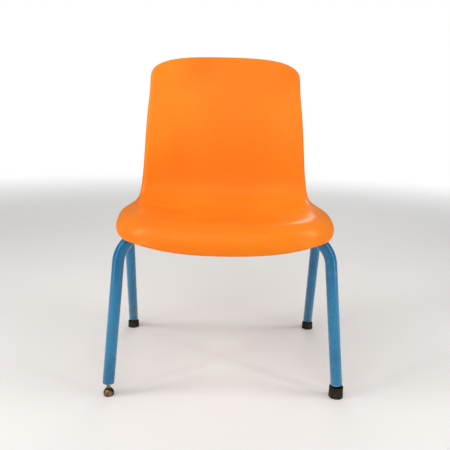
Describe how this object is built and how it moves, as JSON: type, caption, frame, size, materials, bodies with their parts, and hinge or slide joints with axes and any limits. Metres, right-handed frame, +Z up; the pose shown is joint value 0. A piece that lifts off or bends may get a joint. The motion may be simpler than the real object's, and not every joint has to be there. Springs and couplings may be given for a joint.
{
  "type": "nesting chair",
  "caption": "Small school nesting chair: one-piece orange moulded shell on a blue bent steel tube frame with swivel glides.",
  "frame": {"origin": "on the floor, under the middle of the chair's overall box", "axes": "+X to the right as seen from the front, the sitter faces -Y, +Z up"},
  "size_m": [0.4054, 0.3373, 0.5699],
  "materials": {
    "shell_plastic": "satin to glossy moulded polypropylene with a very fine moulded grain and light scuffs",
    "frame_paint": "glossy mid-blue powder coat with small chips near the feet",
    "zinc_steel": "bright zinc plate",
    "insert_brass": "turned brass",
    "glide_steel": "worn nickel plate",
    "boot_rubber": "matt black rubber, dusty",
    "plug_nylon": "black moulded nylon",
    "race_nylon": "natural nylon"
  },
  "bodies": {
    "frame": {"seat_shell": "shell_plastic", "front_hoop": "frame_paint", "rear_hoop": "frame_paint", "side_rail_left": "frame_paint", "side_rail_right": "frame_paint", "rail_welds": "frame_paint", "bracket_welds": "frame_paint", "boss_inserts": "insert_brass", "screw_washers": "zinc_steel", "seat_screws": "zinc_steel", "seat_bracket_fl": "frame_paint", "seat_bracket_fr": "frame_paint", "seat_bracket_rl": "frame_paint", "seat_bracket_rr": "frame_paint", "glide_plug_fl": "plug_nylon", "glide_stud_fl": "glide_steel", "glide_plug_fr": "plug_nylon", "glide_stud_fr": "glide_steel", "glide_plug_rl": "plug_nylon", "glide_stud_rl": "glide_steel", "glide_plug_rr": "plug_nylon", "glide_stud_rr": "glide_steel"},
    "race_fl": {"glide_race_fl": "race_nylon"},
    "base_fl": {"glide_base_fl": "glide_steel"},
    "race_fr": {"glide_race_fr": "race_nylon"},
    "base_fr": {"glide_base_fr": "glide_steel", "glide_boot_fr": "boot_rubber"},
    "race_rl": {"glide_race_rl": "race_nylon"},
    "base_rl": {"glide_base_rl": "glide_steel", "glide_boot_rl": "boot_rubber"},
    "race_rr": {"glide_race_rr": "race_nylon"},
    "base_rr": {"glide_base_rr": "glide_steel", "glide_boot_rr": "boot_rubber"}
  },
  "joints": [
    {"name": "glide_tilt_side_fl", "type": "hinge", "parent": "frame", "child": "race_fl", "pos_m": [-0.1854, -0.13452, 0.0062], "axis": [0, 1, 0], "range_deg": [-5, 5]},
    {"name": "glide_tilt_fore_fl", "type": "hinge", "parent": "race_fl", "child": "base_fl", "pos_m": [-0.1854, -0.13452, 0.0062], "axis": [1, 0, 0], "range_deg": [-5, 5]},
    {"name": "glide_tilt_side_fr", "type": "hinge", "parent": "frame", "child": "race_fr", "pos_m": [0.1854, -0.13452, 0.0062], "axis": [0, 1, 0], "range_deg": [-5, 5]},
    {"name": "glide_tilt_fore_fr", "type": "hinge", "parent": "race_fr", "child": "base_fr", "pos_m": [0.1854, -0.13452, 0.0062], "axis": [1, 0, 0], "range_deg": [-5, 5]},
    {"name": "glide_tilt_side_rl", "type": "hinge", "parent": "frame", "child": "race_rl", "pos_m": [-0.1911, 0.14188, 0.0062], "axis": [0, 1, 0], "range_deg": [-5, 5]},
    {"name": "glide_tilt_fore_rl", "type": "hinge", "parent": "race_rl", "child": "base_rl", "pos_m": [-0.1911, 0.14188, 0.0062], "axis": [1, 0, 0], "range_deg": [-5, 5]},
    {"name": "glide_tilt_side_rr", "type": "hinge", "parent": "frame", "child": "race_rr", "pos_m": [0.1911, 0.14188, 0.0062], "axis": [0, 1, 0], "range_deg": [-5, 5]},
    {"name": "glide_tilt_fore_rr", "type": "hinge", "parent": "race_rr", "child": "base_rr", "pos_m": [0.1911, 0.14188, 0.0062], "axis": [1, 0, 0], "range_deg": [-5, 5]}
  ]
}
